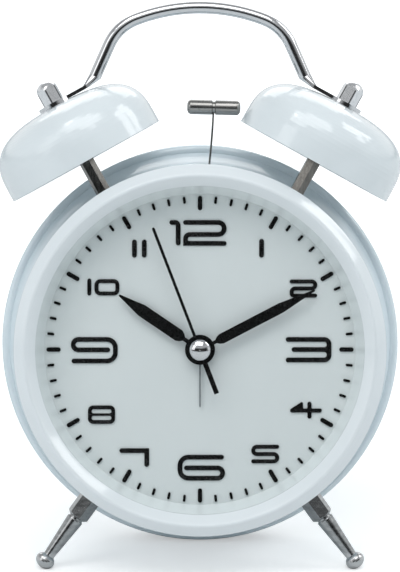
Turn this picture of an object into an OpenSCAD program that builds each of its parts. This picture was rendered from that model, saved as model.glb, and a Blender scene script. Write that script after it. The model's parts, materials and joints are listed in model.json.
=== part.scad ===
// Twin-bell alarm clock, in millimetres.
// The clock is drawn upright in its own frame: x to the right, y from the dial towards the back,
// z up, with the centre of the dial's face at the origin. stand() then leans it back on its feet.

/* [Bezel and dial] */
// Radius of the opening in the bezel
lip_r = 47; // [45.5:0.5:48]
// Radius of the rounded section of the bezel
bezel_round = 3.15; // [2.8:0.05:3.5]
// Wall of the bezel's skirt
skirt_w = 1; // [0.8:0.1:1.3]
// How far the bezel's skirt reaches behind the dial's face
skirt_back = 2.5; // [2:0.1:2.8]
// Space between the dial's face and the glass
glass_room = 6.5; // [6.4:0.1:8]
// Thickness of the glass
glass_t = 1.2; // [1:0.1:1.6]
// Thickness of the dial plate
dial_t = 0.8; // [0.5:0.1:1]
// Radius of the dial that shows inside the reflector ring
dial_show_r = 44.7; // [44.4:0.1:45.4]
// Wall of the reflector ring
reflector_w = 1; // [0.8:0.1:1.2]
// Outer radius of the minute track
track_r = 44.1; // [43:0.1:44.3]
// Length of an hour mark
hour_mark_l = 4.1; // [3:0.1:5]
// Width of an hour mark
hour_mark_w = 1.25; // [0.8:0.05:1.6]
// Length of a minute mark
minute_mark_l = 2.05; // [1.4:0.05:3]
// Width of a minute mark
minute_mark_w = 0.75; // [0.4:0.05:1]
// Height of the marks above the dial
mark_h = 0.4; // [0.2:0.1:0.6]

/* [Case] */
// Wall of the case, the same for the front lip, drum and flare
case_w = 1.2; // [0.9:0.1:1.4]
// Depth at which the drum starts to flare
flare_y = 16; // [15:0.5:18]
// Depth of the rolled rim's centre
rim_y = 31; // [29.5:0.5:33]
// Outer radius of the rolled rim
rim_r = 58.5; // [57.5:0.5:60]
// Radius of the rolled rim's section
rim_roll = 1.5; // [1.3:0.1:1.8]
// Depth of the back face
back_y = 41.5; // [40.5:0.5:44]
// How far the back cover's side stays inside the rolled rim
cover_inset = 1.1; // [0.8:0.1:1.5]
// Wall of the back cover
cover_w = 1.8; // [1.5:0.1:2.2]
// Radius of the back cover's rear edge
cover_edge = 2.5; // [2.1:0.1:3]
// Thickness of the inner frame
frame_t = 1.2; // [1:0.1:1.5]
// Radius of the frame's pillars
pillar_r = 2.6; // [2.3:0.1:2.8]
// Distance of the pillars from the dial's axis
pillar_ring = 46; // [44.5:0.5:47]

/* [Legs] */
// Angle of each leg from straight down
leg_angle = 36; // [32:0.5:40]
// Depth of the legs
leg_y = 7; // [6.8:0.1:9]
// Distance of a ball foot's centre from the dial's axis
foot_ring = 76.5; // [73:0.5:80]
// Radius of a ball foot
foot_r = 2.85; // [2.4:0.05:3]
// Half the height of a ball foot, which is a little flattened
foot_b = 2.3; // [2:0.05:2.4]
// Width across the flats of a leg's hexagon
leg_hex = 5.8; // [5.4:0.1:6.2]
// Length of a leg's hexagon
leg_hex_l = 8.6; // [7:0.1:10]
// Radius of a leg's taper at the hexagon
leg_top_r = 2.5; // [2.2:0.1:2.8]
// Radius of a leg's taper at the ball
leg_end_r = 1.6; // [1.3:0.1:1.9]
// Radius of a leg's stud
leg_stud_r = 2; // [1.7:0.1:2]
// Depth of the flat worn on each thing that touches the table
foot_flat = 0.3; // [0.2:0.05:0.4]

/* [Bells and handle] */
// Sideways place of a bell's rim centre
bell_x = 33; // [32:0.5:35]
// Height of a bell's rim centre
bell_z = 53.8; // [53:0.2:56]
// Depth of the bells, handle and hammer
bell_y = 14; // [13.5:0.5:15]
// Lean of each bell from upright
bell_tilt = 29; // [27:0.5:31]
// Radius of a bell
bell_r = 24.2; // [22.5:0.1:24.6]
// Straight height of a bell's skirt
bell_skirt = 3; // [2:0.5:4]
// Height of a bell's dome above its skirt
bell_dome = 15.5; // [14:0.5:17]
// Squareness of a bell's dome
bell_power = 2.9; // [2.4:0.1:3.4]
// Sheet of a bell
bell_w = 1; // [0.8:0.1:1.2]
// Width across the flats of a bell post
post_hex = 3.9; // [3.5:0.1:4.4]
// Radius of a bell post's stud
post_stud_r = 1.5; // [1.2:0.1:1.5]
// Width across the flats of the domed nuts
nut_hex = 5.8; // [5.4:0.1:6.2]
// Whole height of a domed nut
nut_h = 6.6; // [6.3:0.1:7]
// Radius of the handle's rod
rod_r = 1.82; // [1.5:0.02:2.1]
// Height of the handle's crown, to the middle of the rod
handle_z = 98.5; // [96:0.5:102]
// Radius of the handle's top bend
handle_top_r = 52; // [48:1:56]
// Radius of the handle's shoulder bends
handle_bend_r = 14; // [11:0.5:16]
// Angle where the top bend meets a shoulder
handle_top_a = 21; // [19:0.5:23]
// Slope of the handle's straight sides
handle_side_a = 66; // [62:0.5:70]
// Thickness of the handle's flattened ends
eye_t = 1; // [0.8:0.1:1.2]
// Radius of the handle's eyes
eye_r = 5; // [4.2:0.1:5.4]
// Width of the flattened ends beside the eye
eye_w = 5.6; // [5:0.1:6.4]

/* [Hands] */
// Hour hand, degrees clockwise from 12
hour_at = 304.1; // [300:0.1:308]
// Minute hand, degrees clockwise from 12
minute_at = 62.5; // [58:0.5:66]
// Second hand, degrees clockwise from 12
second_at = 339; // [330:1:345]
// Alarm hand, degrees clockwise from 12
alarm_at = 180; // [170:1:190]
// Length of the hour hand
hour_l = 28; // [25:0.5:32]
// Length of the minute hand
minute_l = 37.1; // [34:0.5:39]
// Length of the second hand
second_l = 37.6; // [34:0.1:39]
// Length of the second hand's tail
second_tail = 13.4; // [10:0.1:15]
// Length of the alarm hand
alarm_l = 16.6; // [14:0.2:20]
// Thickness of the hands
hand_t = 0.35; // [0.25:0.05:0.4]
// Step from one hand to the next
hand_step = 1.05; // [0.95:0.05:1.1]
// Radius of the chrome cap
cap_r = 3; // [2.5:0.1:3.5]

/* [Movement] */
// Half the width of the movement
movement_x = 26; // [25.5:0.5:28]
// Bottom of the movement
movement_low = 24; // [23.5:0.5:25]
// Top of the movement
movement_top = 19; // [18.6:0.1:19.4]
// Inner depth of the movement
movement_in = 11.7; // [11.7:0.1:12.4]
// Wall of the movement
movement_w = 1; // [0.8:0.1:1.2]
// Radius of the thin arbors
arbor_r = 0.5; // [0.4:0.05:0.55]
// Distance from the centre to the third wheel
third_d = 11.5; // [11.4:0.1:12]
// Distance from the centre to the intermediate wheel
inter_d = 11.7; // [11.5:0.1:12.2]
// Distance from the intermediate wheel to the rotor
rotor_d = 5.7; // [5.5:0.1:6]
// Distance from the centre to the motion wheel
motion_d = 8.64; // [8.5:0.02:8.8]
// Distance from the centre to the alarm arbor
alarm_d = 12.24; // [12:0.02:12.6]
// Share of each tooth that is taken off as backlash
slack = 0.2; // [0.16:0.01:0.26]

/* [Strike work] */
// Height of the hammer's pivot
pivot_z = 34; // [33.5:0.5:35]
// Radius of the hammer's pivot pin
pin_r = 1; // [0.8:0.1:1.1]
// Length of the hammer head
head_l = 15.5; // [14:0.5:16]
// Radius of the hammer head
head_r = 2.15; // [1.9:0.05:2.3]
// Height of the hammer head above the dial's axis
head_z = 69.5; // [69:0.5:70.5]
// Sideways place of the hammer head at rest
head_x = 4; // [3.5:0.1:4.5]
// Radius of the hammer wire
wire_r = 0.3; // [0.25:0.05:0.4]
// Bend of the hammer wire
wire_bend = 238; // [200:2:280]
// Radius of the cam's lobes
cam_lobe = 4.4; // [4:0.1:4.5]
// Radius of the cam's waist
cam_waist = 2.4; // [2:0.1:2.6]
// Radius of the alarm motor's can
motor_r = 6.5; // [6:0.1:7]
// Length of the alarm motor's can
motor_l = 12; // [10:0.5:13]

/* [Cell and controls] */
// Radius of the cell
cell_r = 7.1; // [6.9:0.05:7.25]
// Length of the cell's can
cell_l = 49.5; // [48.5:0.1:50]
// Depth of the cell's axis
cell_y = 31; // [30.6:0.1:31.4]
// Height of the cell's axis, counted down from the dial's axis
cell_low = 35; // [34.5:0.5:35.5]
// Radius of the setting knobs
knob_r = 6.5; // [5.5:0.1:7]
// Height of the setting knobs
knob_h = 4.6; // [4:0.1:5]
// Depth of the dish under each knob
dish_t = 1.1; // [0.8:0.1:1.2]
// Radius of the setting arbors
stem_r = 0.9; // [0.8:0.05:1]
// Sideways place of the alarm switch
switch_x = 24; // [22:0.5:25]
// Height of the alarm switch
switch_z = 6; // [4:0.5:8]
// Travel of the alarm switch
switch_travel = 3; // [2:0.5:4]

/* [Fits] */
// Gap between fixed pieces that lie on each other
seat = 0.05; // [0.02:0.01:0.1]
// Radial clearance of running arbors and tubes
run = 0.05; // [0.03:0.01:0.08]
// Clearance of loose pieces and studs in their holes
loose = 0.1; // [0.08:0.01:0.15]
// Gap between pieces that move past each other
pass = 0.4; // [0.3:0.05:0.5]

/* [Hidden] */
$fn = 96;

white = "white";
black = "#242628";
chrome = "#b9bdc0";
nickel = "#8f8d88";
steel = "#a5a8aa";
cream = "#d9d6c8";
ivory = "#f2f2ee";
copper = "#b5652d";

// Radii of the stack inside the bezel, from the opening outwards
bezel_mid = lip_r + bezel_round;
bezel_r = bezel_mid + bezel_round;
skirt_in = bezel_r - skirt_w;
stack_r = skirt_in - loose;
drum_r = stack_r;
drum_in = drum_r - case_w;
bezel_y = -glass_room - glass_t - seat - 0.3;
case_y = dial_t + seat;
frame_y = case_y + case_w + seat;

// Flare of the case: an arc that leaves the drum straight and ends in the rolled rim
roll_c = rim_r - rim_roll;
flare_rise = roll_c - drum_r;
flare_run = rim_y - flare_y;
flare_arc = (flare_run * flare_run + flare_rise * flare_rise) / (2 * flare_rise);
flare_a = asin(flare_run / flare_arc);

// Back cover
cover_r = rim_r - cover_inset;
cover_y = rim_y + rim_roll + 0.2;
plug_y = rim_y - 1.5;
plug_r = drum_r + flare_arc - sqrt(pow(flare_arc + case_w, 2) - pow(plug_y - flare_y, 2)) - loose;
plate_y = back_y - cover_w;
corners = [[1, 1], [-1, 1], [1, -1], [-1, -1]];
pillar_a = 46;
pillars = [for (c = corners) pillar_ring * [c[0] * cos(pillar_a), c[1] * sin(pillar_a)]];
screw_r = 1.2;
screw_head = 2.4;

// Lean: the line that touches the ball feet and the cover's rear edge, raised by the flat.
// foot_drop is how far a flattened ball reaches below its centre when the clock leans by a
rear_y = back_y - cover_edge;
rear_z = cover_r - cover_edge;
front_z = foot_ring * cos(leg_angle);
reach = norm([rear_y - leg_y, front_z - rear_z]);
function foot_drop(a) = let (c = cos(leg_angle) * cos(a))
    sqrt(foot_r * foot_r * (1 - c * c) + foot_b * foot_b * c * c);
function lean_on(drop) = atan2(front_z - rear_z, rear_y - leg_y) + asin((drop - cover_edge) / reach);
lean = lean_on(foot_drop(lean_on(foot_b)));
floor_z = leg_y * sin(lean) + front_z * cos(lean) + foot_drop(lean) - foot_flat;

// Origin under the middle of the whole clock, whose front is the bezel's foot and whose back is
// the cover's upper edge
front_y = bezel_y * cos(lean) - bezel_mid * sin(lean) - bezel_round;
rear_top = rear_y * cos(lean) + rear_z * sin(lean) + cover_edge;
middle_y = (front_y + rear_top) / 2;
knob_end = back_y - dish_t + pass + knob_h;

// Bells: a post's axis passes the dial's axis at post_off, and bell_b is how far up it the rim lies
bell_h = bell_skirt + bell_dome;
bell_b = bell_x * sin(bell_tilt) + bell_z * cos(bell_tilt);
post_off = norm([bell_x * cos(bell_tilt) - bell_z * sin(bell_tilt), 0]);
post_foot = drum_r + loose - bell_b;
inner_nut = 5.5;
nut_corner = inner_nut / 2 / cos(30);
post_nut_h = 2.2;
post_turn = [9, 36];
domed_turn = [37, 42];
leg_turn = -15;
post_nut_top = sqrt(pow(drum_in - loose, 2) - pow(post_off + nut_corner, 2)) - bell_b;
eye_z = bell_h + seat;
nut_z = eye_z + eye_t + seat;
nut_bore = 4.6;

// Legs, measured outwards from the dial's axis
leg_foot = drum_r + loose;
leg_nut = 7;
leg_nut_h = 3;
leg_nut_top = sqrt(pow(drum_in - loose, 2) - pow(leg_nut / 2 / cos(30), 2));
neck_l = 0.6;
neck_d = 0.35;

// Handle: the shoulder's centre, the end of its bend and where its side meets the bell's top
shoulder_x = (handle_top_r - handle_bend_r) * sin(handle_top_a);
shoulder_z = handle_z - handle_top_r + (handle_top_r - handle_bend_r) * cos(handle_top_a);
side_x = shoulder_x + handle_bend_r * sin(handle_side_a);
side_z = shoulder_z + handle_bend_r * cos(handle_side_a);
side_h = (side_x - bell_x) * sin(bell_tilt) + (side_z - bell_z) * cos(bell_tilt);
side_l = (side_h - eye_z - eye_t / 2) / sin(handle_side_a - bell_tilt);
side_s = (side_x - bell_x) * cos(bell_tilt) - (side_z - bell_z) * sin(bell_tilt)
    + side_l * cos(handle_side_a - bell_tilt);
flat_l = 2.2;
hair = 0.02;
core_r = rod_r - 0.05;
core_l = 0.4;

// Hands, each a step in front of the last
alarm_hand_y = -0.7 - hand_t;
hour_hand_y = alarm_hand_y - hand_step;
minute_hand_y = hour_hand_y - hand_step;
second_hand_y = minute_hand_y - hand_step;
cap_y = second_hand_y - seat;
cap_h = 1.25;

// Ears that screw the movement to the frame
ear_screw_r = 0.9;
ear_r = 2.4;
ear_t = 1.5;
ear_y = frame_y + frame_t + seat;
ears = [for (c = corners) [c[0] * (movement_x + 2.7), c[1] * 13]];

// Tubes of the centre stack, each running in the next
minute_in = arbor_r + run;
minute_out = minute_in + 0.45;
hour_in = minute_out + run;
hour_out = hour_in + 0.45;
alarm_in = hour_out + run;
alarm_out = alarm_in + 0.45;

// Levels of the train, counted from the inside of the movement's front wall
front_wall = dial_t + 0.1;
lv = front_wall + movement_w;
alarm_lv = [lv + 0.5, lv + 1.5];
hour_lv = [lv + 2.1, lv + 3.1];
hour_pinion_lv = [lv + 1.9, lv + 3.4];
motion_lv = [lv + 4.1, lv + 5.1];
cannon_lv = [lv + 3.9, lv + 5.3];
centre_lv = [lv + 6.1, lv + 7.1];
third_pinion_lv = [lv + 5.9, lv + 7.3];
third_lv = [lv + 8, lv + 8.8];
seconds_pinion_lv = [lv + 7.7, lv + 9.1];
seconds_lv = [lv + 9.8, lv + 10.6];
inter_pinion_lv = [lv + 9.5, lv + 10.9];
inter_lv = [lv + 7.7, lv + 8.5];
rotor_pinion_lv = [lv + 7.5, lv + 8.7];
magnet_lv = [lv + 3.7, lv + 6.5];
rear_wall = lv + movement_in;
movement_back = rear_wall + movement_w;

// Stepping motor and board
stud_r = 0.7;
magnet_r = 2.5;
coil_x = 20;
coil_r = 3.7;
core_w = 2;
stator_lv = [lv + 4.7, lv + 5.5];
stator_x = 13.7;
stator_low = -21;
board_y = lv + 9.2;
board_x = -movement_x + movement_w + loose;
board_z = -movement_low + movement_w + loose;

// Teeth
pinion_z = 8;
third_z = 60;
centre_z = 64;
seconds_z = 64;
inter_z = 30;
cannon_z = 12;
motion_z = 36;
hour_pinion_z = 10;
hour_z = 40;
alarm_z = 40;
alarm_set_z = 28;
cam_z = 24;
motor_z = 10;

// Places of the arbors round the centre
third_a = 150;
inter_a = 30;
motion_a = -60;
alarm_set_a = 225;
cam_a = 10;
third_p = third_d * [cos(third_a), sin(third_a)];
inter_p = inter_d * [cos(inter_a), sin(inter_a)];
rotor_p = (inter_d + rotor_d) * [cos(inter_a), sin(inter_a)];
motion_p = motion_d * [cos(motion_a), sin(motion_a)];
time_set_p = motion_p * (1 + 1);
alarm_set_p = alarm_d * [cos(alarm_set_a), sin(alarm_set_a)];

// Modules follow from the centre distances
third_m = 2 * third_d / (pinion_z + third_z);
centre_m = 2 * third_d / (pinion_z + centre_z);
seconds_m = 2 * inter_d / (seconds_z + pinion_z);
inter_m = 2 * rotor_d / (inter_z + pinion_z);
motion_m = 2 * motion_d / (cannon_z + motion_z);
hour_m = 2 * motion_d / (hour_pinion_z + hour_z);
alarm_m = 2 * alarm_d / (alarm_z + alarm_set_z);
cam_m = 0.4;
cam_d = cam_m * (cam_z + motor_z) / 2;

// Strike work
bracket_t = 0.8;
bracket_front = 10.4;
bracket_back = 18.2;
bracket_low = movement_top + 0.1;
cam_p = [7, pivot_z - 7.5];
motor_p = cam_p + cam_d * [cos(cam_a), sin(cam_a)];
motor_y = bracket_back + bracket_t + seat;
lever_t = 1;
lever_y = bell_y - lever_t / 2;
wire_top_a = 2.5;
wire_low_a = 9;
wire_deep = 1.2;
wire_top = [head_x - 0.1, head_z - head_r + wire_deep];
wire_c = wire_top + wire_bend * [-cos(wire_top_a), sin(wire_top_a)];
wire_low = wire_c + wire_bend * [cos(wire_low_a), -sin(wire_low_a)];
head_tilt = 1.5;
cam_axle_r = 0.8;
tail_a = -6;
tail_l = 9;
end_l = 1.2;
end_in = 1.5;
groove = 0.4;

// Cell bay
bay_w = 1.2;
bay_gap = 0.3;
bay_x = cell_l / 2 + 2.1;
bay_h = cell_r + bay_gap;
bay_y = cell_y - cell_r - 0.2;
nub_l = 1;
nub_r = 2.6;
door_t = 1.5;
door_gap = 0.2;
door_x = bay_x + bay_w;
door_h = bay_h + bay_w;
ledge = 1;
trunnion_r = 0.4;
trunnion_l = 0.8;
hinge_z = -cell_low - door_h + door_gap + door_t / 2;
contact_t = 0.4;

// Controls
knobs = [time_set_p, alarm_set_p];
dish_gap = 0.8;
switch_w = 4;
switch_h = 3;
switch_y = plate_y - 2;

// Leans the upright clock back and puts it on the table
module stand() {
    translate([0, -middle_y, floor_z]) rotate([-lean, 0, 0]) children();
}

// Cuts off what would reach below the table
module on_table() {
    difference() {
        children();
        translate([-150, -150, -20]) cube([300, 300, 20]);
    }
}

// Turns a section of [radius, depth] round the dial's axis
module turned() {
    stand() rotate([-90, 0, 0]) rotate_extrude($fn = 180) children();
}

// Gives a drawing of the clock's front a depth from y0 to y1
module slab(y0, y1) {
    stand() translate([0, y1, 0]) rotate([90, 0, 0]) linear_extrude(y1 - y0) children();
}

// A round bar along the clock's axis at p
module bar(p, r, y0, y1) {
    slab(y0, y1) translate(p) circle(r, $fn = 48);
}

module ring_of(p, r_out, r_in, y0, y1) {
    slab(y0, y1) translate(p) difference() {
        circle(r_out, $fn = 48);
        circle(r_in, $fn = 48);
    }
}

// Frame of a bell: z along its post, from the middle of its rim
module bell_frame(side) {
    stand() mirror([side < 0 ? 1 : 0, 0, 0])
        translate([bell_x, bell_y, bell_z]) rotate([0, bell_tilt, 0]) children();
}

// Frame of a leg: z outwards from the dial's axis
module leg_frame(side) {
    stand() mirror([side < 0 ? 1 : 0, 0, 0])
        translate([0, leg_y, 0]) rotate([0, 180 - leg_angle, 0]) children();
}

module hexagon(af, h, turn = 0) {
    rotate([0, 0, turn]) cylinder(r = af / 2 / cos(30), h = h, $fn = 6);
}

module nut(af, h, bore) {
    difference() {
        hexagon(af, h);
        translate([0, 0, -1]) cylinder(r = bore, h = h + 2, $fn = 48);
    }
}

// Outline of a dome that is square at its shoulders: [radius, height]
function dome(r, h, k) = [for (i = [0:k]) let (a = 90 * i / k)
    [r * pow(cos(a), 2 / bell_power), h * pow(sin(a), 2 / bell_power)]];

// Involute gear teeth
pressure = 20;
function inv(a) = tan(a) * 180 / PI - a;
function flank(r, base, z) = 90 / z * (1 - slack) + inv(pressure)
    - (r > base ? inv(acos(base / r)) : 0);
function tooth_side(z, m, k) = let (rp = m * z / 2, base = rp * cos(pressure),
    root = rp - 1.1 * m, tip = rp + 0.75 * m, low = max(base, root))
    concat(root < base ? [[root, flank(base, base, z)]] : [],
        [for (i = [0:k]) let (r = low + (tip - low) * i / k) [r, flank(r, base, z)]]);
function tooth(z, m, k, at) = let (s = tooth_side(z, m, k), n = len(s))
    concat([for (i = [0:n - 1]) s[i][0] * [cos(at - s[i][1]), sin(at - s[i][1])]],
        [for (i = [n - 1:-1:0]) s[i][0] * [cos(at + s[i][1]), sin(at + s[i][1])]]);
function teeth(z, m, at) = [for (t = [0:z - 1]) each tooth(z, m, 2, at + 360 * t / z)];

// Angle of a wheel of zb teeth so that it meshes with a wheel of za teeth at angle a,
// where the line from the first to the second points to phi
function mesh(a, phi, za, zb) = phi + 180 - 180 / zb + (phi - a) * za / zb;

third_at = mesh(0, third_a, pinion_z, third_z);
centre_at = mesh(0, third_a + 180, pinion_z, centre_z);
inter_at = mesh(0, inter_a, seconds_z, pinion_z);
rotor_at = mesh(0, inter_a, inter_z, pinion_z);
motion_at = mesh(0, motion_a, cannon_z, motion_z);
time_set_at = mesh(motion_at, motion_a, motion_z, cannon_z);
hour_gear_at = mesh(0, motion_a + 180, hour_pinion_z, hour_z);
alarm_set_at = mesh(0, alarm_set_a, alarm_z, alarm_set_z);
motor_at = mesh(0, cam_a, cam_z, motor_z);

// A gear with a round hole, drawn at p
module gear(p, z, m, at, lvl, hole) {
    slab(lvl[0], lvl[1]) translate(p) difference() {
        polygon(teeth(z, m, at));
        circle(hole, $fn = 48);
    }
}

module bezel() {
    color(white) turned() difference() {
        union() {
            translate([bezel_mid, bezel_y]) circle(bezel_round, $fn = 96);
            translate([skirt_in, bezel_y]) square([skirt_w, skirt_back - bezel_y]);
        }
        translate([0, bezel_y + 0.3]) square([skirt_in, 30]);
    }
}

module glass() {
    color("lightblue", 0.3) turned() translate([0, -glass_room - glass_t]) square([stack_r, glass_t]);
}

// Cone between the glass and the dial, with a flange at each
module reflector_ring() {
    front = seat - glass_room;
    slant = reflector_w * 1.06;
    color(white) turned() polygon([[dial_show_r, -seat], [lip_r, front], [stack_r, front],
        [stack_r, front + reflector_w], [lip_r + slant, front + reflector_w],
        [dial_show_r + 1.4 * slant, -seat - reflector_w], [stack_r, -seat - reflector_w],
        [stack_r, -seat]]);
}

module dial() {
    color("#c3cbcb") turned() translate([alarm_out + 2 * loose, 0])
        square([stack_r - alarm_out - 2 * loose, dial_t]);
}

module mark(l, w) {
    translate([0, track_r - l + w / 2]) {
        translate([-w / 2, 0]) square([w, l - w]);
        circle(w / 2, $fn = 24);
        translate([0, l - w]) circle(w / 2, $fn = 24);
    }
}

module minute_track() {
    color(black) slab(-mark_h, 0) for (i = [0:59]) rotate(6 * i)
        if (i % 5 == 0) mark(hour_mark_l, hour_mark_w);
        else mark(minute_mark_l, minute_mark_w);
}

// Section of the flare, from the drum's edge to the rolled rim
module flare_section() {
    difference() {
        intersection() {
            translate([drum_r + flare_arc, flare_y]) difference() {
                circle(flare_arc + case_w, $fn = 360);
                circle(flare_arc, $fn = 360);
            }
            translate([drum_in, flare_y]) square([roll_c - drum_in, flare_run]);
        }
        translate([roll_c, rim_y]) circle(rim_roll / 2, $fn = 48);
    }
}

module case_shell() {
    color(white) difference() {
        turned() {
            translate([drum_in, case_y]) square([case_w, flare_y - case_y]);
            translate([drum_r - 3.4, case_y]) square([3.4, case_w]);
            flare_section();
            translate([roll_c, rim_y]) circle(rim_roll, $fn = 48);
        }
        for (side = [-1, 1]) {
            bell_frame(side) translate([0, 0, -20]) cylinder(r = post_stud_r + loose, h = 20, $fn = 48);
            leg_frame(side) translate([0, 0, 40]) cylinder(r = leg_stud_r + loose, h = 20, $fn = 48);
        }
        stand() translate([-4.4, bell_y - 1.3, drum_in - 3]) cube([9, 2.6, 10]);
    }
}

// Ring behind the dial that carries the movement, with pillars to the back cover
module inner_frame() {
    color(cream) difference() {
        union() {
            slab(frame_y, frame_y + frame_t) difference() {
                circle(drum_in - loose, $fn = 180);
                movement_plan(loose + 0.2);
            }
            for (p = pillars) bar(p, pillar_r, frame_y + frame_t / 2, plate_y - seat);
        }
        for (p = pillars) bar(p, screw_r + run, plate_y - 10, plate_y);
        for (p = ears) bar(p, ear_screw_r + run, frame_y - 1, frame_y + frame_t + 1);
    }
}

// Moulded cap that closes the back, with the cell's bay, the knobs' dishes and the switch's slot
module back_cover() {
    color(ivory) on_table() difference() {
        union() {
            turned() difference() {
                union() {
                    translate([0, cover_y]) square([cover_r, rear_y - cover_y]);
                    translate([0, rear_y]) square([rear_z, cover_edge]);
                    translate([rear_z, rear_y]) circle(cover_edge);
                    translate([0, plug_y]) square([plug_r, cover_y - plug_y + 0.1]);
                }
                square([plug_r - cover_w, plate_y]);
            }
            slab(bay_y - bay_w, plate_y + 0.1) intersection() {
                bay_plan(bay_w);
                circle(drum_in - 3 * loose, $fn = 180);
            }
            slab(plate_y - ledge, plate_y + 0.1) door_plan(bay_w);
            for (p = knobs) bar(p, knob_r + dish_gap + 1, plate_y - dish_t, plate_y + 0.1);
        }
        slab(bay_y, back_y + 1) bay_plan(0);
        slab(back_y - door_t - seat, back_y + 1) door_plan(0);
        door_axis() cylinder(r = trunnion_r + run, h = 2 * (door_x + trunnion_l), center = true, $fn = 48);
        for (p = knobs) {
            bar(p, knob_r + dish_gap, back_y - dish_t, back_y + 1);
            bar(p, stem_r + loose, plate_y - 5, back_y + 1);
        }
        for (p = pillars) {
            bar(p, screw_r + loose, plate_y - 1, back_y + 1);
            bar(p, screw_head + loose, back_y - 1, back_y + 1);
        }
        slab(plate_y - 1, back_y + 1) switch_plan(switch_travel / 2 + pass, pass);
    }
}

// Outline of the cell's bay, of the door over it and of the switch's button, each with a margin
module bay_plan(grow) {
    translate([-bay_x - grow, -cell_low - bay_h - grow]) square(2 * [bay_x + grow, bay_h + grow]);
}

module door_plan(grow) {
    translate([-door_x - grow, -cell_low - door_h - grow]) square(2 * [door_x + grow, door_h + grow]);
}

module switch_plan(along, across) {
    size = [switch_w / 2 + along, switch_h / 2 + across];
    translate([switch_x, switch_z] - size) square(2 * size);
}

module cover_screws() {
    color(steel) for (p = pillars) {
        bar(p, screw_r, plate_y - 8, back_y - 0.9);
        bar(p, screw_head, back_y - 1 + seat, back_y - 0.1);
    }
}

// Lid of the cell's bay: its lower edge is round and turns on two trunnions, a catch holds its
// upper edge, and ribs give the thumb a grip
module battery_door() {
    color(ivory) difference() {
        union() {
            stand() translate([door_gap - door_x, 0, 0]) rotate([90, 0, 90])
                linear_extrude(2 * (door_x - door_gap)) {
                    translate([back_y - door_t / 2, hinge_z]) circle(door_t / 2, $fn = 48);
                    translate([back_y - door_t, hinge_z]) square([door_t, door_h - door_gap - cell_low - hinge_z]);
                }
            slab(back_y - door_t - 1.2, back_y - door_t + 0.1)
                translate([-4, bay_h - cell_low - 1.5]) square([8, 1]);
            door_axis() cylinder(r = trunnion_r, h = 2 * (door_x + trunnion_l - run), center = true, $fn = 48);
        }
        for (i = [0:6]) slab(back_y - 0.4, back_y + 1)
            translate([-5, door_h - cell_low - 2.4 - 0.8 * i]) square([10, 0.4]);
    }
}

module door_axis() {
    stand() translate([0, back_y - door_t / 2, hinge_z]) rotate([0, 90, 0]) children();
}

module battery() {
    stand() translate([0, cell_y, -cell_low]) rotate([0, 90, 0]) {
        color("#2f3234") translate([0, 0, -cell_l / 2]) cylinder(r = cell_r, h = cell_l * 0.72);
        color(copper) translate([0, 0, cell_l * 0.22]) cylinder(r = cell_r, h = cell_l * 0.28);
        color(steel) translate([0, 0, cell_l / 2]) cylinder(r = nub_r, h = nub_l);
    }
}

// Plate with a raised pad that meets the cell's nub
module contact_plus() {
    color(steel) bay_sheet() {
        translate([bay_x - loose - contact_t, -5]) square([contact_t, 10]);
        translate([cell_l / 2 + nub_l + loose, -2]) square([bay_x - cell_l / 2 - nub_l - 2 * loose, 4]);
    }
}

// Bent leaf whose tongue presses on the cell's flat end
module contact_minus() {
    tip = -cell_l / 2 - loose;
    root = -bay_x + loose;
    color(steel) bay_sheet() polygon([[root, -5], [root + contact_t, -5], [root + contact_t, 3],
        [tip - contact_t, -1], [tip, -1], [tip, 0], [root + contact_t, 5], [root, 5]]);
}

// Bent sheet in the bay, as wide as the leaf, drawn as it is seen from behind
module bay_sheet() {
    stand() translate([0, cell_y + 4, -cell_low]) rotate([90, 0, 0]) linear_extrude(8) children();
}

module bell(side) {
    color(white) bell_frame(side) rotate_extrude($fn = 120) difference() {
        polygon(concat([[0, 0], [bell_r, 0]],
            [for (p = dome(bell_r, bell_dome, 22)) p + [0, bell_skirt]]));
        polygon(concat([[0, -1], [bell_r - bell_w, -1]],
            [for (p = dome(bell_r - bell_w, bell_dome - bell_w, 22)) p + [0, bell_skirt]]));
        translate([0, 0]) square([post_stud_r + loose, bell_h + 1]);
    }
}
module left_bell() bell(-1);
module right_bell() bell(1);

module post(side) {
    top = bell_h - bell_w - seat;
    color(nickel) bell_frame(side) {
        translate([0, 0, post_foot]) hexagon(post_hex, top - post_foot, post_turn[side > 0 ? 1 : 0]);
        translate([0, 0, post_nut_top - post_nut_h - 0.6])
            cylinder(r = post_stud_r, h = nut_z + nut_bore - 0.4 - (post_nut_top - post_nut_h - 0.6), $fn = 48);
    }
}
module left_post() post(-1);
module right_post() post(1);

module post_nuts() {
    color(steel) for (side = [-1, 1]) bell_frame(side)
        translate([0, 0, post_nut_top - post_nut_h]) nut(inner_nut, post_nut_h, post_stud_r + run);
}

// Hexagon whose faces run up into a dome, with a blind hole for the stud
module domed_nuts() {
    round_r = nut_hex / 2 / cos(30) + run;
    color(chrome) for (side = [-1, 1]) bell_frame(side) translate([0, 0, nut_z]) difference() {
        intersection() {
            hexagon(nut_hex, nut_h, domed_turn[side > 0 ? 1 : 0]);
            union() {
                translate([0, 0, -1]) cylinder(r = round_r + 1, h = nut_h - round_r + 1);
                translate([0, 0, nut_h - round_r]) rotate([90, 0, 0]) rotate([0, 0, 17]) sphere(r = round_r);
            }
        }
        translate([0, 0, -1]) cylinder(r = post_stud_r + run, h = nut_bore + 1, $fn = 48);
    }
}

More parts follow.
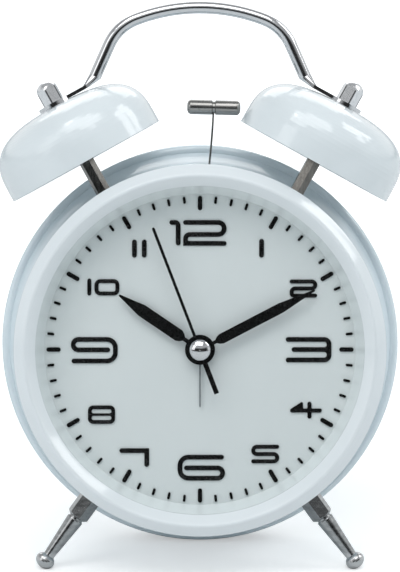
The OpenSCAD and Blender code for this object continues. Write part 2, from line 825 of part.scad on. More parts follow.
// Rod bent in a crown and two shoulders, its ends beaten flat on the bells. Each bend stops a
// hair short of the next, and a core of nearly the same radius runs on through the joint.
module handle() {
    color(chrome) {
        stand() translate([0, bell_y, handle_z - handle_top_r])
            rod_bend(handle_top_r, -handle_top_a, handle_top_a);
        for (side = [-1, 1]) {
            stand() mirror([side < 0 ? 1 : 0, 0, 0]) {
                translate([0, bell_y, handle_z - handle_top_r])
                    rod_joint(handle_top_r, handle_top_a);
                translate([shoulder_x, bell_y, shoulder_z]) {
                    rod_bend(handle_bend_r, handle_top_a, handle_side_a);
                    rod_joint(handle_bend_r, handle_side_a);
                }
                side_frame() translate([0, 0, hair]) cylinder(r = rod_r, h = side_l - flat_l - hair, $fn = 48);
                hull() {
                    side_frame() translate([0, 0, side_l - flat_l - hair])
                        cylinder(r = core_r, h = hair, $fn = 32);
                    translate([bell_x, bell_y, bell_z]) rotate([0, bell_tilt, 0])
                        translate([side_s + flat_l - core_l, -eye_w / 2 + hair, eye_z + hair])
                            cube([2 * core_l, eye_w - 2 * hair, eye_t - 2 * hair]);
                }
            }
            bell_frame(side) translate([0, 0, eye_z]) linear_extrude(eye_t) difference() {
                union() {
                    circle(eye_r, $fn = 64);
                    translate([side_s + flat_l, -eye_w / 2]) square([-side_s - flat_l, eye_w]);
                }
                circle(post_stud_r + loose, $fn = 48);
            }
        }
    }
}

// Bent rod from angle a to angle b, clockwise from straight up, short of both by a hair
module rod_bend(r, a, b) {
    trim = hair / r * 180 / PI;
    rotate([90, 0, 0]) rotate([0, 0, 90 - b + trim])
        rotate_extrude(angle = b - a - 2 * trim, $fn = 180) translate([r, 0]) circle(rod_r, $fn = 48);
}

module rod_joint(r, a) {
    rotate([0, a, 0]) translate([-core_l / 2, 0, r]) rotate([0, 90, 0])
        cylinder(r = core_r, h = core_l, $fn = 48);
}

// Frame of the handle's straight side: z down the rod from the end of its shoulder
module side_frame() {
    translate([side_x, bell_y, side_z]) rotate([0, 90 + handle_side_a, 0]) children();
}

// Turned leg: stud, hexagon, neck, taper and a flattened ball
module leg(side) {
    taper_z = leg_foot + leg_hex_l + neck_l;
    stud_z = leg_nut_top - leg_nut_h - 0.8;
    corner = leg_hex / 2 / cos(30);
    color(nickel) on_table() leg_frame(side) {
        translate([0, 0, stud_z]) cylinder(r = leg_stud_r, h = leg_foot - stud_z + 0.2, $fn = 48);
        intersection() {
            translate([0, 0, leg_foot]) hexagon(leg_hex, leg_hex_l, leg_turn);
            translate([0, 0, leg_foot - 1]) rotate_extrude() polygon([[0, 0], [corner + 1, 0],
                [corner + 1, leg_hex_l + 1 - 1.6], [leg_hex / 2 - 0.4, leg_hex_l + 1], [0, leg_hex_l + 1]]);
        }
        rotate_extrude() polygon(concat([[0, leg_foot + 0.2], [leg_top_r - neck_d, leg_foot + 0.2],
            [leg_top_r - neck_d, taper_z], [leg_top_r - 0.1, taper_z], [leg_top_r, taper_z + 0.3],
            [leg_end_r, foot_ring - foot_b * 0.8]], ball_side(foot_r, foot_b, 14, 52, foot_ring)));
    }
}
module left_leg() leg(-1);
module right_leg() leg(1);

// Side of a flattened ball, from the angle a above its middle to its foot
function ball_side(r, b, k, a, z) = [for (i = [0:k]) let (t = a - (a + 90) * i / k)
    [r * cos(t), z - b * sin(t)]];

module leg_nuts() {
    color(steel) for (side = [-1, 1]) leg_frame(side)
        translate([0, 0, leg_nut_top - leg_nut_h]) nut(leg_nut, leg_nut_h, leg_stud_r + run);
}

// A hand's blade: a narrow neck, a straight body and a long point, [half width, distance] down one side
module blade(side) {
    polygon(concat(side, [for (i = [len(side) - 1:-1:0]) [-side[i][0], side[i][1]]]));
}

module hand(at, y, hub, bore) {
    slab(y, y + hand_t) rotate(-at) difference() {
        union() {
            circle(hub, $fn = 64);
            children();
        }
        circle(bore, $fn = 48);
    }
}

module hour_hand() {
    color(black) hand(hour_at, hour_hand_y, 4.3, hour_out + 0.02)
        blade([[0.6, 0], [0.6, 5.6], [1.3, 6.3], [1.78, 7.3], [1.78, hour_l - 7.9], [0.25, hour_l]]);
}

module minute_hand() {
    color(black) hand(minute_at, minute_hand_y, 3.9, minute_out + 0.02)
        blade([[0.5, 0], [0.5, 5.2], [1.1, 5.9], [1.48, 6.9], [1.48, minute_l - 11], [0.22, minute_l]]);
}

module second_hand() {
    color(black) hand(second_at, second_hand_y, 2.1, arbor_r + 0.02) {
        blade([[0.42, 0], [0.42, second_l - 0.4], [0.2, second_l]]);
        translate([-0.7, -second_tail]) square([1.4, second_tail]);
    }
}

module alarm_hand() {
    color("#6d7173") hand(alarm_at, alarm_hand_y, 2.8, alarm_out + 0.02)
        blade([[0.25, 0], [0.25, alarm_l - 0.5], [0.1, alarm_l]]);
}

// Chrome dome on the second hand's arbor: the cap of a sphere
module centre_cap() {
    ball = (cap_r * cap_r + cap_h * cap_h) / (2 * cap_h);
    color(chrome) turned() intersection() {
        translate([0, cap_y - cap_h + ball]) circle(ball, $fn = 180);
        translate([0, cap_y - cap_h]) square([cap_r, cap_h]);
    }
}

module movement_plan(grow) {
    translate([-movement_x - grow, -movement_low - grow])
        square([2 * (movement_x + grow), movement_low + movement_top + 2 * grow]);
}

// Tray behind the dial, with ears on the frame and the train's front bearings
module movement_front() {
    split = rear_wall - 2;
    color("#3c4043") difference() {
        union() {
            slab(front_wall, split) movement_plan(0);
            slab(ear_y, ear_y + ear_t) for (p = ears) {
                translate(p) circle(ear_r, $fn = 48);
                translate([p[0] > 0 ? movement_x - 0.5 : p[0], p[1] - ear_r])
                    square([abs(p[0]) - movement_x + 0.5, 2 * ear_r]);
            }
        }
        slab(lv, rear_wall + 5) movement_plan(-movement_w);
        bar([0, 0], alarm_out + run, 0, 5);
        for (p = [third_p, inter_p, rotor_p]) bar(p, arbor_r + run, 0, 5);
        for (p = knobs) bar(p, stem_r + run, 0, 5);
        for (p = ears) bar(p, ear_screw_r + loose, 0, 10);
    }
    color("#3c4043") {
        bar(motion_p, stud_r, lv - 0.1, cannon_lv[1]);
        for (x = [stator_x, coil_x]) bar([x, stator_low + 1.3], 1, lv - 0.1, stator_lv[0] - seat);
    }
}
// Lid of the movement with the rear bearings
module movement_rear() {
    color("#3c4043") difference() {
        union() {
            slab(rear_wall, movement_back) movement_plan(0);
            slab(rear_wall - 2 + seat, rear_wall + 0.1) difference() {
                movement_plan(0);
                movement_plan(-movement_w);
            }
        }
        for (p = [[0, 0], third_p, inter_p, rotor_p]) bar(p, arbor_r + run, rear_wall - 1, movement_back + 1);
        for (p = knobs) bar(p, stem_r + run, rear_wall - 1, movement_back + 1);
    }
}

module movement_screws() {
    head_y = ear_y + ear_t + seat;
    color(steel) for (p = ears) {
        bar(p, ear_screw_r, frame_y, head_y + 0.1);
        bar(p, 1.8, head_y, head_y + 1.2);
    }
}

// Centre arbor that carries the second hand, with its wheel and pinion
module seconds_wheel() {
    color(cream) {
        bar([0, 0], arbor_r, cap_y + 0.05, rear_wall + movement_w * 0.8);
        gear([0, 0], pinion_z, third_m, 0, seconds_pinion_lv, arbor_r / 2);
        gear([0, 0], seconds_z, seconds_m, 0, seconds_lv, arbor_r / 2);
    }
}

module third_wheel() {
    color(cream) {
        bar(third_p, arbor_r, front_wall + 0.1, rear_wall + movement_w * 0.8);
        gear(third_p, third_z, third_m, third_at, third_lv, arbor_r / 2);
        gear(third_p, pinion_z, centre_m, 0, third_pinion_lv, arbor_r / 2);
    }
}

// Centre wheel, which drives the cannon pinion by friction so that the hands can be set
module centre_wheel() {
    color(cream) {
        gear([0, 0], centre_z, centre_m, centre_at, centre_lv, minute_out + run);
        ring_of([0, 0], minute_out + 0.9, minute_out + run, cannon_lv[1] + seat, centre_lv[0] + 0.1);
    }
}

// Cannon pinion on the tube that carries the minute hand, with a collar behind the centre wheel
module cannon_pinion() {
    color(cream) {
        gear([0, 0], cannon_z, motion_m, 0, cannon_lv, minute_in);
        ring_of([0, 0], minute_out, minute_in, minute_hand_y - 0.1, centre_lv[1] + 0.1);
        ring_of([0, 0], minute_out + 0.4, minute_in, centre_lv[1] + seat, centre_lv[1] + 0.35);
    }
}

module motion_wheel() {
    color(cream) {
        gear(motion_p, motion_z, motion_m, motion_at, motion_lv, stud_r + run);
        gear(motion_p, hour_pinion_z, hour_m, 0, [hour_pinion_lv[0], motion_lv[0] + 0.1], stud_r + run);
    }
}

module hour_wheel() {
    color(cream) {
        gear([0, 0], hour_z, hour_m, hour_gear_at, hour_lv, hour_in);
        ring_of([0, 0], hour_out, hour_in, hour_hand_y - 0.1, hour_lv[0] + 0.1);
    }
}

module alarm_wheel() {
    color(cream) {
        gear([0, 0], alarm_z, alarm_m, 0, alarm_lv, alarm_in);
        ring_of([0, 0], alarm_out, alarm_in, alarm_hand_y - 0.1, alarm_lv[0] + 0.1);
    }
}

module intermediate_wheel() {
    color(cream) {
        bar(inter_p, arbor_r, front_wall + 0.1, rear_wall + movement_w * 0.8);
        gear(inter_p, inter_z, inter_m, 0, inter_lv, arbor_r / 2);
        gear(inter_p, pinion_z, seconds_m, inter_at, inter_pinion_lv, arbor_r / 2);
    }
}

module rotor() {
    color("#55585a") {
        bar(rotor_p, arbor_r, front_wall + 0.1, rear_wall + movement_w * 0.8);
        bar(rotor_p, magnet_r, magnet_lv[0], magnet_lv[1]);
        gear(rotor_p, pinion_z, inter_m, rotor_at, rotor_pinion_lv, arbor_r / 2);
    }
}
// Laminated yoke that goes through the coil and round the rotor
module stator() {
    color(steel) slab(stator_lv[0], stator_lv[1]) difference() {
        union() {
            translate(rotor_p) circle(4.8);
            translate([stator_x - 1.3, stator_low]) square([2.6, rotor_p[1] - stator_low]);
            translate([stator_x, stator_low]) square([coil_x + core_w / 2 - stator_x, 2.6]);
            translate([coil_x - core_w / 2, stator_low]) square([core_w, rotor_p[1] - stator_low]);
        }
        translate(rotor_p) circle(magnet_r + pass);
    }
}

module drive_coil() {
    low = stator_low + 2.6 + 0.1;
    high = rotor_p[1] - 5.4;
    mid = (stator_lv[0] + stator_lv[1]) / 2;
    color(copper) stand() translate([coil_x, mid, low]) difference() {
        union() {
            cylinder(r = coil_r - 0.5, h = high - low, $fn = 64);
            cylinder(r = coil_r, h = 0.8, $fn = 64);
            translate([0, 0, high - low - 0.8]) cylinder(r = coil_r, h = 0.8, $fn = 64);
        }
        translate([-core_w / 2 - loose, -0.4 - loose, -1]) cube([core_w + 2 * loose, 0.8 + 2 * loose, 60]);
    }
}

module circuit_board() {
    color("#2f6b45") slab(board_y, board_y + 1) translate([board_x, board_z]) square([11, 18]);
    color(black) slab(board_y - 1, board_y + 0.1) translate([board_x + 2, board_z + 9]) square([5, 5]);
}

module quartz_crystal() {
    color(steel) stand() translate([board_x + 4, board_y - 1 - seat, board_z + 1]) cylinder(r = 1, h = 6, $fn = 48);
}

// A setting arbor through the movement, with the wheel that turns the hands
module time_arbor() {
    color(cream) {
        bar(time_set_p, stem_r, front_wall + 0.1, knob_end - 1.6);
        gear(time_set_p, cannon_z, motion_m, time_set_at, motion_lv, stem_r / 2);
    }
}

module alarm_arbor() {
    color(cream) {
        bar(alarm_set_p, stem_r, front_wall + 0.1, knob_end - 1.6);
        gear(alarm_set_p, alarm_set_z, alarm_m, alarm_set_at, alarm_lv, stem_r / 2);
    }
}

// Fluted knob with a blind hole for its arbor
module knob(p) {
    flutes = 18;
    y0 = knob_end - knob_h;
    color(black) difference() {
        slab(y0, knob_end) translate(p) difference() {
            circle(knob_r, $fn = 96);
            for (i = [0:flutes - 1]) rotate(360 * i / flutes) translate([knob_r + 0.5, 0]) circle(1, $fn = 24);
        }
        bar(p, stem_r + 0.02, y0 - 1, knob_end - 1.5);
        bar(p, knob_r - 2, knob_end - 0.5, knob_end + 1);
    }
}
module time_knob() knob(time_set_p);
module alarm_knob() knob(alarm_set_p);

// Slider at the middle of its travel, with a wider foot inside the cover
module alarm_switch() {
    color(black) {
        slab(switch_y, back_y + 0.8) switch_plan(0, 0);
        slab(switch_y, plate_y - 2 * seat) switch_plan(0, pass - loose);
    }
}

module switch_body() {
    color(black) {
        slab(switch_y - seat - 2, plate_y - seat) difference() {
            switch_plan(switch_travel / 2 + pass + 1, pass + 1);
            switch_plan(switch_travel / 2 + pass, pass);
        }
        slab(switch_y - seat - 2, switch_y - seat) switch_plan(switch_travel / 2 + pass + 1, pass + 1);
    }
}

// U of sheet metal that holds the hammer's pin, the cam's axle and the motor
module strike_bracket() {
    low = bracket_low;
    plate = [[-6, low], [19, low], [19, low + 14], [3, pivot_z + 4], [-4, pivot_z + 4], [-6, pivot_z]];
    color(steel) difference() {
        union() {
            slab(bracket_front, bracket_front + bracket_t) polygon(plate);
            slab(bracket_back, bracket_back + bracket_t) polygon(plate);
            slab(bracket_front, bracket_back + bracket_t) translate([-6, low]) square([25, bracket_t]);
        }
        bar([0, pivot_z], pin_r + run, 5, 25);
        bar(cam_p, cam_axle_r + run, 5, 25);
        bar(motor_p, 1.8, bracket_back - 1, 25);
    }
}

module hammer_pin() {
    color(steel) bar([0, pivot_z], pin_r, bracket_front - 0.6, bracket_back + bracket_t + 0.6);
}

// Lever on the pin: an arm up to the wire's socket and a tail beside the cam
module hammer_lever() {
    arm = norm([wire_low[0], wire_low[1] - pivot_z]);
    arm_a = atan2(wire_low[0], wire_low[1] - pivot_z);
    color(steel) difference() {
        union() {
            slab(lever_y, lever_y + lever_t) translate([0, pivot_z]) {
                rotate(-arm_a) translate([-1.2, 0]) square([2.4, arm]);
                rotate(tail_a) translate([-1, -tail_l]) square([2, tail_l]);
            }
            bar([0, pivot_z], 2.4, bell_y - 2.4, bell_y + 2.4);
            socket_frame() translate([0, 0, -2]) cylinder(r = 1.2, h = 4, $fn = 48);
        }
        bar([0, pivot_z], pin_r + run, bracket_front, bracket_back);
        socket_frame() translate([0, 0, -seat]) cylinder(r = wire_r + seat, h = 3, $fn = 48);
    }
}

// Frame of the socket in the lever, z along the foot of the wire
module socket_frame() {
    stand() translate([wire_low[0], bell_y, wire_low[1]]) rotate([0, wire_low_a, 0]) children();
}

module hammer_wire() {
    color(steel) stand() translate([wire_c[0], bell_y, wire_c[1]]) rotate([90, 0, 0])
        rotate([0, 0, -wire_low_a]) rotate_extrude(angle = wire_low_a - wire_top_a, $fn = 360)
            translate([wire_bend, 0]) circle(wire_r, $fn = 24);
}

// Turned head with rounded ends and a groove round its middle, where the wire goes in
module hammer_head() {
    flank = [for (i = [0:6]) let (t = 15 * i)
        [head_r - end_in * (1 - cos(t)), head_l / 2 - end_l * (1 - sin(t))]];
    half = concat([[head_r - groove, 0.35], [head_r, 0.55]], flank, [[0, head_l / 2]]);
    color(nickel) stand() difference() {
        translate([head_x, bell_y, head_z]) rotate([0, 90 + head_tilt, 0])
            rotate_extrude($fn = 96) polygon(concat(half, [for (i = [len(half) - 1:-1:0])
                [half[i][0], -half[i][1]]]));
        translate([wire_top[0], bell_y, wire_top[1]]) rotate([0, 180 + wire_top_a, 0])
            translate([0, 0, -seat]) cylinder(r = wire_r + seat, h = head_r, $fn = 48);
    }
}

// Gear, axle and two-lobed cam
module cam_wheel() {
    color(cream) {
        bar(cam_p, cam_axle_r, bracket_front - 0.4, bracket_back + bracket_t - 0.1);
        gear(cam_p, cam_z, cam_m, 0, [bell_y + 2.2, bell_y + 3.4], cam_axle_r / 2);
        slab(bell_y - 1, bell_y + 2.3) translate(cam_p) {
            circle(cam_waist, $fn = 48);
            intersection() {
                circle(cam_lobe, $fn = 96);
                square([2.4, 3 * cam_lobe], center = true);
            }
        }
    }
}

module alarm_motor() {
    color(steel) difference() {
        union() {
            bar(motor_p, motor_r, motor_y, motor_y + motor_l);
            bar(motor_p, 1.6, motor_y - bracket_t, motor_y + 0.1);
            bar(motor_p, 2.4, motor_y + motor_l - 0.1, motor_y + motor_l + 1);
        }
        bar(motor_p, arbor_r + run, motor_y - 2, motor_y + 3);
    }
}

// Pinion on the motor's shaft
module motor_pinion() {
    color("#c9a24b") {
        gear(motor_p, motor_z, cam_m, motor_at, [bell_y + 2, bell_y + 3.6], arbor_r / 2);
        bar(motor_p, arbor_r, bell_y + 1.8, motor_y + 3 - seat);
    }
}

bezel();
glass();
reflector_ring();
dial();
minute_track();
case_shell();
inner_frame();
back_cover();
cover_screws();
battery_door();
battery();
contact_plus();
contact_minus();
left_bell();
right_bell();
left_post();
right_post();
post_nuts();
domed_nuts();
handle();
left_leg();
right_leg();
leg_nuts();
hour_hand();
minute_hand();
second_hand();
alarm_hand();
centre_cap();
movement_front();
movement_rear();
movement_screws();
seconds_wheel();
third_wheel();
centre_wheel();
cannon_pinion();
motion_wheel();
hour_wheel();
alarm_wheel();
intermediate_wheel();
rotor();
stator();
drive_coil();
circuit_board();
quartz_crystal();
time_arbor();
time_knob();
alarm_arbor();
alarm_knob();
alarm_switch();
switch_body();
strike_bracket();
hammer_pin();
hammer_lever();
hammer_wire();
hammer_head();
cam_wheel();
alarm_motor();
motor_pinion();
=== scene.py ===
# Twin-bell alarm clock: finishes, bezel, dial numerals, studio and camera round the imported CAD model
import json
import math
import bpy
from mathutils import Euler, Matrix, Vector


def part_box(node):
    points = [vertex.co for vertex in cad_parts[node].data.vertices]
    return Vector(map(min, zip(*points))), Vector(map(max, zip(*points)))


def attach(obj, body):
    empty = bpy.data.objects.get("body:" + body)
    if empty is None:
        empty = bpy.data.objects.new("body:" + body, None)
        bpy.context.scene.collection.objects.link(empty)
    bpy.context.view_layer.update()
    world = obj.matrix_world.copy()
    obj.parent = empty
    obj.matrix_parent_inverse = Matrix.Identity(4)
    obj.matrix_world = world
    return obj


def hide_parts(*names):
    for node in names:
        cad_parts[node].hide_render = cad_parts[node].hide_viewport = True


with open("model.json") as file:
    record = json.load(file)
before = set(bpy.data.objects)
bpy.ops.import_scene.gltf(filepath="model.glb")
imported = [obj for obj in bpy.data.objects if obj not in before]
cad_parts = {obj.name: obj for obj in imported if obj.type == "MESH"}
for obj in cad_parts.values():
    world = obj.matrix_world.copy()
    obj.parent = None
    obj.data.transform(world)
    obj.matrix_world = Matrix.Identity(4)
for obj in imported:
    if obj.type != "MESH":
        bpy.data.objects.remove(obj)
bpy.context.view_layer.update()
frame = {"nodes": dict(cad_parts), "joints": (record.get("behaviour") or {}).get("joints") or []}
nodes = frame["nodes"]
print("clock loaded:", len(nodes), "CAD nodes")

mm = 0.001

# The clock leans back, so its own axes come from the hinge that its hands turn on
dialHinge = next(joint for joint in frame["joints"] if joint["name"] == "seconds_turn")
dialCentre = Vector(dialHinge["pos_m"])
inward = Vector(dialHinge["axis"])  # from the dial towards the back
upward = Vector((1, 0, 0)).cross(inward)

# How the clock, its posts and its legs lean, in degrees from upright
leans = {"clock": math.degrees(math.asin(-inward.z)), "post": 29, "leg": 36}


def clockSpace():  # from the clock's own millimetres, x right, y inward, z up, to metres in the row frame
    turn = Matrix((Vector((1, 0, 0)), inward, upward)).transposed().to_4x4()
    return Matrix.Translation(dialCentre) @ turn @ Matrix.Scale(mm, 4)


def dialSpace(depth):  # a drawing in x and y laid on the dial at that depth, its z towards the reader
    return clockSpace() @ Matrix.Translation((0, depth, 0)) @ Matrix.Rotation(math.pi / 2, 4, "X")


def nodeMiddle(name):
    low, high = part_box(name)
    return [(a + b) / 2 for a, b in zip(low, high)]


def pick(piece):
    if bpy.context.object and bpy.context.object.mode != "OBJECT":
        bpy.ops.object.mode_set(mode="OBJECT")
    bpy.ops.object.select_all(action="DESELECT")
    piece.select_set(True)
    bpy.context.view_layer.objects.active = piece


def editWhole(piece):  # into edit mode with the whole piece selected
    pick(piece)
    bpy.ops.object.mode_set(mode="EDIT")
    bpy.ops.mesh.select_all(action="SELECT")


def applyPlace(piece, place):  # bake a matrix into the mesh and leave the object at the origin
    piece.data.transform(place @ piece.matrix_world)
    piece.matrix_world = Matrix.Identity(4)
    piece.data.update()


def addModifier(piece, kind, settings):
    modifier = piece.modifiers.new(kind.title(), kind)
    for name, value in settings.items():
        setattr(modifier, name, value)
    pick(piece)
    bpy.ops.object.modifier_apply(modifier=modifier.name)


def smoothByAngle(piece, degrees):
    pick(piece)
    bpy.ops.object.shade_smooth_by_angle(angle=math.radians(degrees))


class Signal:
    # a shader socket; Python arithmetic on it adds Math nodes
    def __init__(self, kit, socket):
        self.kit, self.socket = kit, socket

    def calc(self, operation, *values):
        return self.kit.add("Math", {"operation": operation}, dict(enumerate(values)))

    def __add__(self, other):
        return self.calc("ADD", self, other)

    def __radd__(self, other):
        return self.calc("ADD", other, self)

    def __sub__(self, other):
        return self.calc("SUBTRACT", self, other)

    def __rsub__(self, other):
        return self.calc("SUBTRACT", other, self)

    def __mul__(self, other):
        return self.calc("MULTIPLY", self, other)

    def __rmul__(self, other):
        return self.calc("MULTIPLY", other, self)

    def __pow__(self, other):
        return self.calc("POWER", self, other)

    def __rpow__(self, other):
        return self.calc("POWER", other, self)

    def __gt__(self, other):
        return self.calc("GREATER_THAN", self, other)

    def __lt__(self, other):  # also what a number > signal comes to
        return self.calc("LESS_THAN", self, other)

    def larger(self, other):
        return self.calc("MAXIMUM", self, other)

    def smaller(self, other):
        return self.calc("MINIMUM", self, other)

    def ramp(self, low, high, toLow=0.0, toHigh=1.0):  # a smooth step from low to high
        return self.kit.add("MapRange", {"interpolation_type": "SMOOTHSTEP"}, {
            "Value": self, "From Min": low, "From Max": high, "To Min": toLow, "To Max": toHigh})

    def spread(self, toLow=0.0, toHigh=1.0):  # a noise, mostly 0.3 to 0.7, over that range
        return self.ramp(0.3, 0.7, toLow, toHigh)


class NodeKit:
    # a node tree under construction
    def __init__(self, tree):
        self.tree = tree

    def add(self, kind, settings=None, values=None, output=0):
        node = self.tree.nodes.new("ShaderNode" + kind)
        for name, value in (settings or {}).items():
            setattr(node, name, value)
        for name, value in (values or {}).items():
            self.feed(node.inputs[name], value)
        return Signal(self, node.outputs[output])

    def feed(self, socket, value):
        if isinstance(value, Signal):
            self.tree.links.new(value.socket, socket)
        else:
            socket.default_value = value

    def fade(self, factor, a, b):  # from shader a to shader b
        return self.add("MixShader", {}, {0: factor, 1: a, 2: b})

    def axis(self, vector, letter):
        return self.add("SeparateXYZ", {}, {"Vector": vector}, output=letter)

    def rays(self, *kinds):  # 1 for each kind of ray that looks at the surface
        return [self.add("LightPath", output="Is %s Ray" % kind) for kind in kinds]


class Finish(NodeKit):
    # a material round one Principled shader
    def __init__(self, name, settings):
        self.material = bpy.data.materials.new(name)
        self.material.use_nodes = True
        super().__init__(self.material.node_tree)
        self.shader = self.tree.nodes["Principled BSDF"]
        self.output = self.tree.nodes["Material Output"]
        for socket, value in settings.items():
            self.set(socket, value)

    def set(self, socket, value):
        self.feed(self.shader.inputs[socket], value)

    def place(self, turn=(0, 0, 0), scale=(1, 1, 1), centre=(0, 0, 0)):
        # the spot measured from centre, scaled and then turned
        spot = self.add("TexCoord", output="Object")
        moved = self.add("VectorMath", {"operation": "SUBTRACT"}, {0: spot, 1: centre})
        return self.add("Mapping", {"vector_type": "POINT"}, {
            "Vector": moved, "Rotation": [math.radians(a) for a in turn], "Scale": scale})

    def noise(self, where, scale, detail=3.0, roughness=0.55):
        return self.add("TexNoise", {}, {
            "Vector": where, "Scale": scale, "Detail": detail, "Roughness": roughness})

    def blend(self, factor, a, b):
        return self.add("Mix", {"data_type": "RGBA"}, {0: factor, 6: a, 7: b}, output=2)

    def bump(self, height, strength, distance):
        self.set("Normal", self.add("Bump", {}, {
            "Strength": strength, "Distance": distance, "Height": height}))


def sRgb(red, green, blue):  # screen values 0-255 to a linear colour
    def linear(v):
        v /= 255
        return v / 12.92 if v <= 0.04045 else ((v + 0.055) / 1.055) ** 2.4
    return (linear(red), linear(green), linear(blue), 1)


def shade(colour, factor):
    return tuple(c * factor for c in colour[:3]) + (1,)


def dress(finish, *names):
    for name in names:
        slots = nodes[name].data.materials
        slots.clear()
        slots.append(finish.material)


# Glossy white enamel on the case, bells and bezel. A noise's size, here and below, is its features a metre
enamel = {
    "case": sRgb(232, 242, 247),
    "bell": sRgb(237, 242, 244),
    "bezel": sRgb(240, 244, 246),
    "coat": 0.6,
    "coatRoughness": 0.03,
    "roughness": (0.13, 0.21),
    "clouds": 35,
    "orangePeel": 900,
    "specks": 2600,
    "bump": (0.02, 0.0002),  # strength and height in metres
}


def whiteEnamel(name, colour):
    finish = Finish(name, {"Coat Weight": enamel["coat"], "Coat Roughness": enamel["coatRoughness"],
                           "Coat IOR": 1.5, "IOR": 1.48})
    where = finish.place()
    cloud = finish.noise(where, enamel["clouds"], 2)
    ripple = finish.noise(where, enamel["orangePeel"], 2)
    speck = finish.noise(where, enamel["specks"], 1)
    finish.set("Base Color", finish.blend(cloud, shade(colour, 0.985), colour))
    finish.set("Roughness", cloud.spread(*enamel["roughness"]))
    finish.bump(ripple * 0.8 + speck * 0.2, *enamel["bump"])
    return finish


dress(whiteEnamel("caseEnamel", enamel["case"]), "case_shell")
dress(whiteEnamel("bellEnamel", enamel["bell"]), "left_bell", "right_bell")
bezelEnamel = whiteEnamel("bezelEnamel", enamel["bezel"])
dress(bezelEnamel, "bezel")
print("enamel done")

# Bright chrome on the handle and hand cap
chromeLook = {
    "colour": sRgb(214, 215, 217),
    "roughness": (0.08, 0.15),
    "haze": 120,
    "scratches": 2520,
    "scratchTurn": (0, 25, 0),
    "scratchScale": (0.12, 1, 1),  # drawn out across the clock
    "bump": (0.04, 0.0001),
}


def brightChrome(name, look):
    finish = Finish(name, {"Metallic": 1.0})
    haze = finish.noise(finish.place(), look["haze"], 3)
    scratch = finish.noise(finish.place(look["scratchTurn"], look["scratchScale"]), look["scratches"], 2)
    finish.set("Base Color", finish.blend(haze, shade(look["colour"], 0.93), look["colour"]))
    finish.set("Roughness", haze.ramp(0.35, 0.7, *look["roughness"]))
    finish.bump(scratch, *look["bump"])
    return finish


dress(brightChrome("chrome", chromeLook), "handle", "centre_cap")

# Chrome on the domed nuts, with a painted dark reflection at the corners of their six facets and a faint
# random grain
nutLook = dict(
    chromeLook,
    colour=sRgb(232, 233, 235),
    # painted dark reflection for the facet corners, also the darker end of the random grain
    paintedReflectionAndGrain=sRgb(96, 97, 99),
    roughness=(0.2, 0.27),
    corner=(0.00316, 0.00328),  # metres from the nut's axis where the painted dark reflection at the corners begins and is full
    grain=1500,
    grainDepth=0.12,
)


def fromNutAxis(finish, side):  # distance from the axis of the left (-1) or right (1) nut
    turn = (leans["clock"], -side * leans["post"], 0)
    upright = Euler([math.radians(angle) for angle in turn]).to_matrix()
    points = [upright @ vertex.co for vertex in nodes["domed_nuts"].data.vertices if vertex.co.x * side > 0]
    middle = [(min(p[k] for p in points) + max(p[k] for p in points)) / 2 for k in range(3)]
    local = finish.place(turn, centre=upright.inverted() @ Vector(middle))
    across, along = finish.axis(local, "X"), finish.axis(local, "Y")
    return (across * across + along * along) ** 0.5


def polishedNuts():
    finish = brightChrome("nutChrome", nutLook)
    # the corners get a painted dark reflection; the grain is a random darker tone
    paintedCornerReflection = fromNutAxis(finish, -1).smaller(fromNutAxis(finish, 1)).ramp(*nutLook["corner"])
    grain = finish.noise(finish.place(), nutLook["grain"], 2).spread(0, nutLook["grainDepth"])
    finish.set("Base Color", finish.blend(paintedCornerReflection.larger(grain), nutLook["colour"], nutLook["paintedReflectionAndGrain"]))
    return finish


dress(polishedNuts(), "domed_nuts")

# Turned nickel on the hammer, posts and legs
nickelLook = {
    "light": sRgb(160, 159, 157),
    "dark": sRgb(142, 141, 139),
    "stain": sRgb(96, 94, 91),
    "roughness": 0.2,
    "lines": 1500,
    "stretch": (0.05, 1, 1),  # small on the axes along which the lines are drawn out
    "mottle": 1400,
    "bump": (0.1, 0.00006),
}
postLook = dict(
    nickelLook,
    light=sRgb(122, 120, 116),
    dark=sRgb(96, 94, 91),
    stain=sRgb(70, 68, 66),
    stretch=(1, 1, 0.05),
)
legLook = dict(
    nickelLook,
    light=sRgb(172, 174, 175),
    dark=sRgb(148, 150, 151),
    stain=sRgb(104, 105, 105),
    lines=900,
    stretch=(0.35, 0.35, 1),
    ball=sRgb(192, 193, 194),
    ballTop=(0.0042, 0.0052),  # metres above the ground where the ball turns into the cone
)


def turnedNickel(name, look, turn=(0, 0, 0), centre=(0, 0, 0)):
    finish = Finish(name, {"Metallic": 1.0})
    grain = finish.noise(finish.place(turn, look["stretch"], centre), look["lines"], 3, 0.6)
    mottle = finish.noise(finish.place(), look["mottle"], 3, 0.6)
    tone = finish.blend(grain.spread(), look["dark"], look["light"])
    finish.set("Base Color", finish.blend(mottle.ramp(0.6, 0.8), tone, look["stain"]))
    finish.set("Roughness", grain.ramp(0.25, 0.75, look["roughness"] - 0.05, look["roughness"] + 0.06)
               + mottle.ramp(0.5, 0.8, 0, 0.06))
    finish.bump(grain * 0.6 + mottle * 0.4, *look["bump"])
    return finish


def turnedLeg(name, turn, centre):  # with a polished ball under the turned cone
    finish = turnedNickel(name, legLook, turn, centre)
    cone = Signal(finish, finish.shader.inputs["Base Color"].links[0].from_socket)
    aboveBall = finish.axis(finish.place(), "Z").ramp(*legLook["ballTop"])
    finish.set("Base Color", finish.blend(aboveBall, legLook["ball"], cone))
    return finish


for side, name in ((-1, "left"), (1, "right")):
    leg, post = name + "_leg", name + "_post"
    dress(turnedLeg(name + "LegNickel", (0, side * leans["leg"], 0), nodeMiddle(leg)), leg)
    dress(turnedNickel(name + "PostNickel", postLook, (0, -side * leans["post"], 0), nodeMiddle(post)), post)
dress(turnedNickel("hammerNickel", nickelLook, centre=nodeMiddle("hammer_head")),
      "hammer_head", "hammer_wire", "hammer_lever", "hammer_pin", "strike_bracket", "post_nuts", "leg_nuts")
print("metal done")

